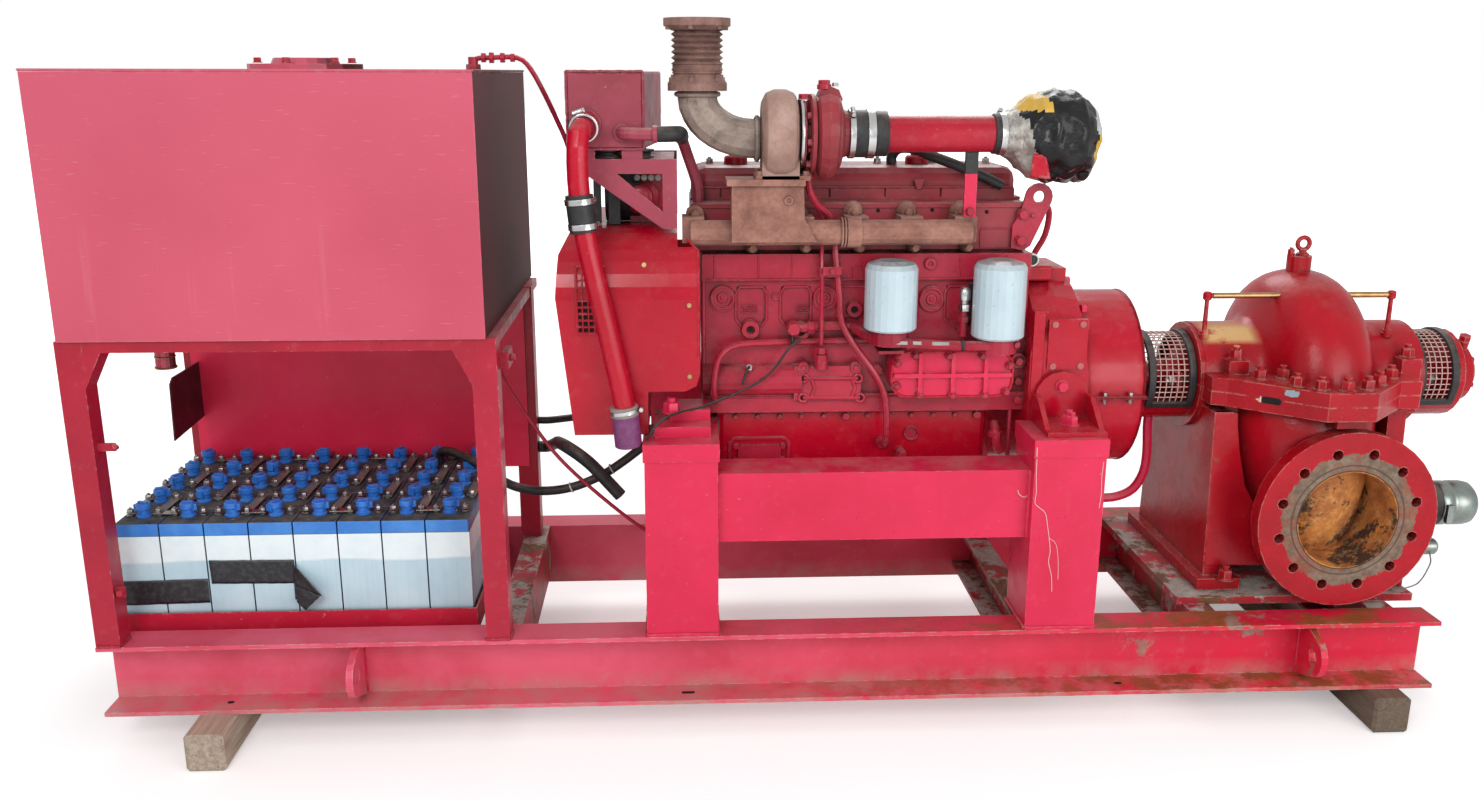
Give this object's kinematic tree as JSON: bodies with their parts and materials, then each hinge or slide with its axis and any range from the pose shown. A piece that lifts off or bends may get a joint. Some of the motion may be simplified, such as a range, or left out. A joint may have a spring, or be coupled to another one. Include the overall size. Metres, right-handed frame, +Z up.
{
  "type": "diesel fire pump set",
  "caption": "Skid-mounted diesel fire pump: turbocharged engine driving a horizontal split-case pump, with a fuel tank on a stand above a tray of battery cells.",
  "frame": {"origin": "middle of the bounding box at floor level, under the set's centre", "axes": "+X along the skid from the fuel tank to the pump, -Y towards the side with the oil filters, +Z up"},
  "size_m": [2.962, 0.903, 1.442],
  "materials": {
    "red_paint": "crimson machinery enamel, worn pale at edges",
    "dark_red_paint": "darker, dusty engine enamel",
    "rusty_iron": "brown rusty cast iron",
    "heat_grey_steel": "heat-dulled grey-brown metal",
    "black_rubber": "dull black rubber",
    "black_tape": "shiny black tape",
    "cell_case": "translucent pale cell case",
    "pale_blue_enamel": "pale blue enamel",
    "weathered_timber": "weathered grey-brown sawn timber"
  },
  "bodies": {
    "root": {"battery_tray": "red_paint", "stand_front_frame": "red_paint", "stand_rear_frame": "red_paint", "stand_rear_panel": "red_paint", "fuel_tank_shell": "red_paint", "fuel_tank_roof": "red_paint", "skid_channel_front": "red_paint", "skid_channel_rear": "red_paint", "skid_cross_member_stand": "red_paint", "skid_cross_member_engine": "red_paint", "pedestal_front": "red_paint", "pedestal_rear": "red_paint", "engine_foot_front": "red_paint", "engine_foot_rear": "red_paint", "sump": "red_paint", "oil_cooler_cover": "red_paint", "filter_head": "red_paint", "turbo_oil_pipes": "red_paint", "oil_return_pipe": "red_paint", "lifting_bracket": "red_paint", "compressor_housing": "red_paint", "intake_pipe": "red_paint", "intake_support_bar": "red_paint", "flywheel_housing": "red_paint", "housing_bracket_front": "red_paint", "housing_bracket_rear": "red_paint", "coupling_guard": "red_paint", "belt_guard": "red_paint", "header_tank": "red_paint", "header_bracket": "red_paint", "coolant_pipe": "red_paint", "header_side_pipe": "red_paint", "pump_upper_casing": "red_paint", "pump_lower_casing": "red_paint", "pump_bed": "red_paint", "gland_drain_pipe": "red_paint", "stand_flap": "dark_red_paint", "engine_block": "dark_red_paint", "cylinder_head": "dark_red_paint", "rocker_cover": "dark_red_paint", "housing_vent_pipe": "dark_red_paint", "tank_vent_pipe": "dark_red_paint", "fuel_line": "dark_red_paint", "exhaust_manifold": "rusty_iron", "exhaust_bellows": "rusty_iron", "turbine_housing": "heat_grey_steel", "exhaust_elbow": "heat_grey_steel", "belt_pulley": "black_rubber", "gland_guard_left": "black_rubber", "gland_guard_right": "black_rubber", "battery_cable": "black_rubber", "open_hose": "black_rubber", "starter_cable": "black_rubber", "breather_hose": "black_rubber", "wrapped_inlet": "black_tape", "battery_cells": "cell_case", "oil_filter_1": "pale_blue_enamel", "oil_filter_2": "pale_blue_enamel", "timber_bearer_left": "weathered_timber", "timber_bearer_right": "weathered_timber"}
  },
  "joints": []
}
